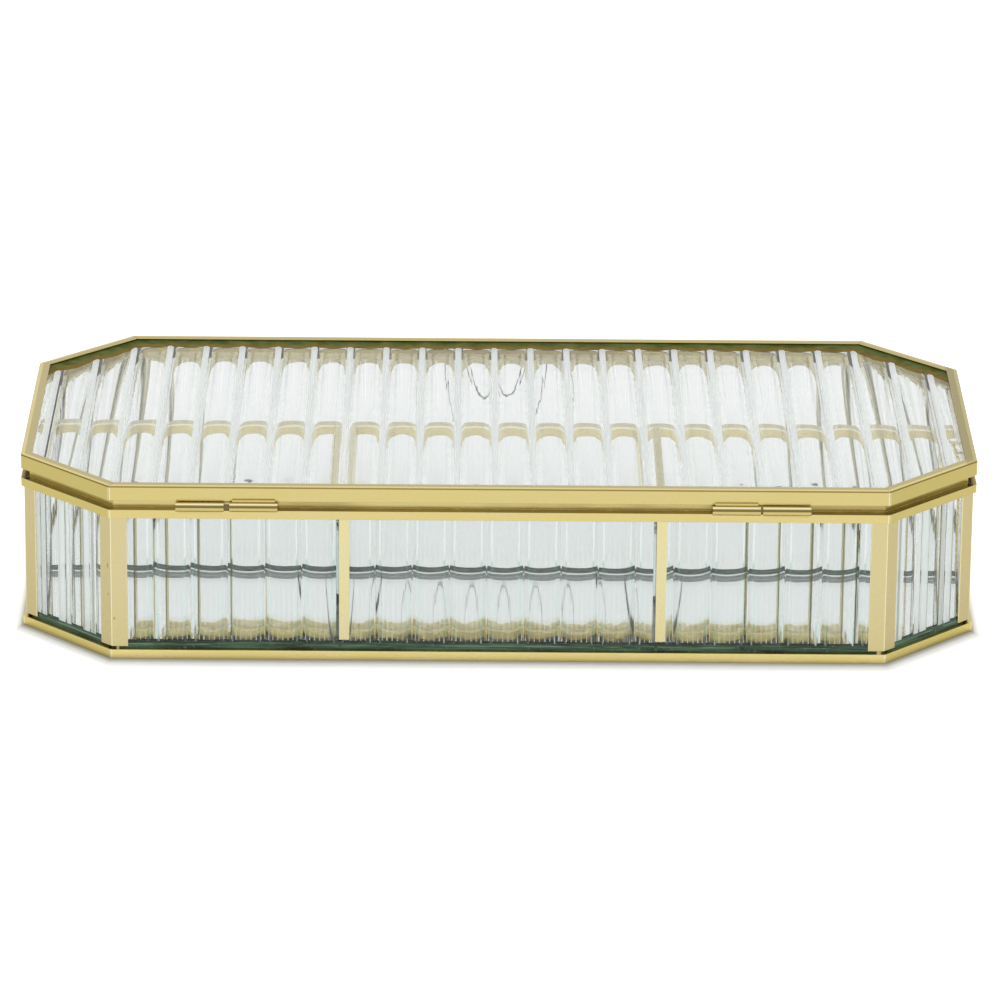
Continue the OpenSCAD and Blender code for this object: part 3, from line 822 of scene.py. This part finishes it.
def wall_pane(node, side, start, end, ridge=0.0):
    """One wall pane; on a corner pane the whole flank of each ridge takes the painted glint."""
    middle, along, inward = side_frame(side)

    def corner(x, t, end_):
        spot = middle + along * x + inward * (PANE_INSET + t)
        spot.z = PANE_TOP if end_ else PANE_BOTTOM
        return spot

    (low, high), glinting = (CORNER_GLINT, ridge_flank) if side % 2 else (WALL_GLINT, ridge_line)
    bm = bmesh.new()
    sheet_between(bm, flute_stations(start, end, ridge, WALL_PITCH, FLUTE_RADIUS), corner,
                  lambda x: 2 if low < from_ridge(x, ridge, WALL_PITCH) < high else 0, 3)
    clear = glass_front if node == "pane_front" else glass_wall
    finish_piece(bm, "glass_" + node, "base", [clear, cut_edge, glinting, pale_edge], [node])


wall_pane("pane_back_left", 0, -half_pane(0), -MID_POST_X - WEB_ROOM, BACK_RIDGES["left"])
wall_pane("pane_back_middle", 0, WEB_ROOM - MID_POST_X, MID_POST_X - WEB_ROOM, BACK_RIDGES["middle"])
wall_pane("pane_back_right", 0, MID_POST_X + WEB_ROOM, half_pane(0), BACK_RIDGES["right"])
for side, where in enumerate(SIDES):
    if side:
        pane = "corner_" + where if side % 2 else where
        wall_pane("pane_" + pane, side, -half_pane(side), half_pane(side), CORNER_RIDGES.get(pane, 0.0))


def lid_pane():
    """The lid's glass: its flutes run from back to front, on its underside."""
    half_length, half_depth = BOX_LENGTH / 2 - LID_INSET, BOX_DEPTH / 2 - LID_INSET
    cut = CORNER_CUT - LID_INSET * (2 - math.sqrt(2))
    stations = flute_stations(-half_length, half_length, LID_RIDGE, LID_PITCH, LID_FLUTE_RADIUS)
    bends = [half_length - cut, cut - half_length]
    for bend in bends:
        after = next(i for i, (x, t) in enumerate(stations) if x > bend)
        (x0, t0), (x1, t1) = stations[after - 1], stations[after]
        stations.insert(after, (bend, t0 + (t1 - t0) * (bend - x0) / (x1 - x0)))

    def corner(x, t, end_):
        y = half_depth - max(0.0, abs(x) - (half_length - cut))
        return Vector((x, y if end_ else -y, LID_TOP - t))

    bm = bmesh.new()
    sheet_between(bm, stations, corner,
                  lambda x: 2 if from_ridge(x, LID_RIDGE, LID_PITCH) < LID_GLINT else 0)
    finish_piece(bm, "glass_lid", "lid", [glass_lid, cut_edge, ridge_bright], ["lid_glass"])


lid_pane()


# ---------------------------------------------------------------- mirror floor

PAINT = 0.08 * MM
PAINT_MARGIN = 0.2 * MM
ARRIS = 0.25 * MM


def mirror_plate():
    """Glass plate with ground edges, silvered underneath, over a coat of paint."""
    low = MIRROR_BOTTOM + 1.5 * PAINT
    rings = [(low, 0.0), (MIRROR_TOP - ARRIS, 0.0), (MIRROR_TOP, ARRIS)]
    bm = bmesh.new()
    loops = [[bm.verts.new((x, y, z)) for x, y in outline(MIRROR_INSET + inset)] for z, inset in rings]
    for a, b in zip(loops, loops[1:]):
        for corners in between(a, b):
            bm.faces.new(corners).material_index = 1
    bm.faces.new(loops[-1]).material_index = 0
    bm.faces.new(reversed(loops[0])).material_index = 2
    finish_piece(bm, "mirror_plate", "base", [glass_mirror, cut_edge, silvering], ["mirror_floor"])
    bm = bmesh.new()
    loops = [[bm.verts.new((x, y, z)) for x, y in outline(MIRROR_INSET + PAINT_MARGIN)]
             for z in (MIRROR_BOTTOM, MIRROR_BOTTOM + PAINT)]
    for corners in between(*loops):
        bm.faces.new(corners)
    bm.faces.new(loops[1])
    bm.faces.new(reversed(loops[0]))
    finish_piece(bm, "mirror_backing", "base", [mirror_paint])


mirror_plate()


# ---------------------------------------------------------------- CAD nodes that stay

# Widths of the rounded edges
FINE_BEVEL = 0.10 * MM
SMALL_BEVEL = 0.12 * MM
POST_BEVEL = 0.20 * MM
CAP_BEVEL = 0.28 * MM


def dress(node, material, bevel=0.0):
    """Gives a node of the CAD its material, and rounds its edges."""
    piece = nodes[node]
    piece.data.materials.clear()
    piece.data.materials.append(material)
    for face in piece.data.polygons:
        face.use_smooth = True
    weld = piece.modifiers.new("weld", "WELD")
    weld.merge_threshold = 0.002 * MM
    flat = piece.modifiers.new("flat", "DECIMATE")
    flat.decimate_type = "DISSOLVE"
    flat.angle_limit = math.radians(0.5)
    if bevel:
        edge = piece.modifiers.new("edge", "BEVEL")
        edge.width = bevel
        edge.segments = 2
        edge.limit_method = "ANGLE"
        edge.angle_limit = math.radians(40)
    normals = piece.modifiers.new("normals", "WEIGHTED_NORMAL")
    normals.weight = 100


for side, where in enumerate(SIDES):
    for kind in rail_brass:
        dress(f"{kind}_rail_{where}", rail_brass[kind][side % 4], FINE_BEVEL)
for name in nodes:
    if name.startswith("mid_post_"):
        dress(name, post_brass, FINE_BEVEL)
    elif name.startswith("post_"):
        dress(name, post_brass, POST_BEVEL)
    elif name.startswith("divider_cap"):
        dress(name, cap_brass[0 if name.endswith("long") else 1], CAP_BEVEL)
    elif name.startswith("divider_"):
        dress(name, glass_divider, FINE_BEVEL)
    elif name == "lid_pull":
        dress(name, steel_wire)
    elif "knuckle" in name:
        dress(name, knuckle_brass, SMALL_BEVEL)
    elif name == "hinge_pins":
        dress(name, brass_dull_shaded, SMALL_BEVEL)
    elif name in ("chain_upper", "chain_lower"):
        dress(name, brass_fine)
    elif "chain" in name:
        dress(name, brass_fine, SMALL_BEVEL)


# ---------------------------------------------------------------- glass under the mid posts

# Half widths of the chipped glass at some heights, and how far in it lies, all in mm
JOINT_WIDTHS = ((2.60, 0.50), (3.05, 0.56), (3.60, 0.44), (4.05, 0.52), (4.40, 0.38))
JOINT_OUTER, JOINT_INNER = 1.42, 4.45


def pane_joint():
    """Chipped ends of the back panes, which show below the two posts between them."""
    bm = bmesh.new()
    for side_x in (-1, 1):
        rings = []
        for z, wide in JOINT_WIDTHS:
            corners = [(-wide, JOINT_OUTER), (wide, JOINT_OUTER), (wide * 0.9, JOINT_INNER), (-wide, JOINT_INNER)]
            rings.append([bm.verts.new((side_x * MID_POST_X + x * MM, y * MM - BOX_DEPTH / 2, z * MM))
                          for x, y in corners])
        for a, b in zip(rings, rings[1:]):
            for face in between(a, b):
                bm.faces.new(face)
        bm.faces.new(reversed(rings[0]))
        bm.faces.new(rings[-1])
    finish_piece(bm, "pane_joint", "base", [cut_edge])


pane_joint()


# ---------------------------------------------------------------- floor, world and light

FLOOR_SIZE = 4.0
FLOOR_ALBEDO = 0.88
# The painted shadow is narrower at the ends and corners of the box than along its sides
SHADOW_END_SCALE = 3.0
SHADOW_CORNER_SCALE = 1.25
# How the floor lightens away from the box, a painted shadow, as (from, to, value at from, value at to): its colour,
# the glow that the camera sees, in two steps, and the glow seen through glass and in brass
FLOOR_CONTACT = (0.0, 2.6 * MM, 0.42, 1.0)
FLOOR_NEAR = (2.0 * MM, 6.0 * MM, 0.0, 0.42)
FLOOR_FAR = (6.0 * MM, 14 * MM, 0.0, 0.35)
FLOOR_THROUGH = (1.5 * MM, 8.0 * MM, 0.05, 0.26)


def make_floor():
    """Pale floor: pure white to the camera away from the box, with a short soft shadow around its foot, real shadow
    deepened by painted shade in the floor's colour and glow.
    """
    mesh = bpy.data.meshes.new("floor")
    size = FLOOR_SIZE
    mesh.from_pydata([(-size, -size, 0), (size, -size, 0), (size, size, 0), (-size, size, 0)], [], [(0, 1, 2, 3)])
    floor = bpy.data.objects.new("floor", mesh)
    scene.collection.objects.link(floor)
    material = bpy.data.materials.new("floor")
    material.use_nodes = True
    g = Graph(material.node_tree)
    away = g.math("MULTIPLY", g.inset(SHADOW_END_SCALE, SHADOW_CORNER_SCALE), -1.0)
    ray = g.add("ShaderNodeLightPath")
    seen = g.math("ADD", ray.outputs["Is Glossy Ray"], ray.outputs["Is Transmission Ray"], clamp=True)
    # The glow is lower near the box, as part of the painted shadow
    direct = g.math("ADD", g.ramp(away, *FLOOR_NEAR), g.ramp(away, *FLOOR_FAR))
    through = g.ramp(away, *FLOOR_THROUGH)
    lift = g.math("ADD", g.math("MULTIPLY", ray.outputs["Is Camera Ray"], direct), g.math("MULTIPLY", seen, through))
    plain = g.add("ShaderNodeBsdfDiffuse")
    # Painted contact shadow: the floor's colour darkens close to the box
    albedo = g.math("MULTIPLY", g.ramp(away, *FLOOR_CONTACT), FLOOR_ALBEDO)
    g.put(plain.inputs["Color"], albedo)
    glow = g.add("ShaderNodeEmission")
    g.put(glow.inputs["Strength"], lift)
    both = g.add("ShaderNodeAddShader")
    g.put(both.inputs[0], plain.outputs[0])
    g.put(both.inputs[1], glow.outputs[0])
    out = g.add("ShaderNodeOutputMaterial")
    g.put(out.inputs["Surface"], both.outputs[0])
    mesh.materials.append(material)


# Strength of the light from the sides and from straight above
WORLD_LOW = 0.92
WORLD_HIGH = 1.12


def make_world():
    """Plain soft light from all round, a little stronger from above; to the camera, an even pale sky."""
    world = bpy.data.worlds.new("studio")
    scene.world = world
    world.use_nodes = True
    g = Graph(world.node_tree)
    ray = g.add("ShaderNodeLightPath")
    direction = g.split(g.add("ShaderNodeTexCoord").outputs["Generated"])
    soft = g.ramp(direction["Z"], 0.0, 1.0, WORLD_LOW, WORLD_HIGH)
    white = g.add("ShaderNodeMix", data_type="FLOAT")
    g.put(white.inputs[0], ray.outputs["Is Camera Ray"])
    g.put(white.inputs[2], soft)
    g.put(white.inputs[3], 1.0)
    sky = g.add("ShaderNodeBackground")
    g.put(sky.inputs["Strength"], white.outputs[0])
    out = g.add("ShaderNodeOutputWorld")
    g.put(out.inputs["Surface"], sky.outputs[0])


make_floor()
make_world()
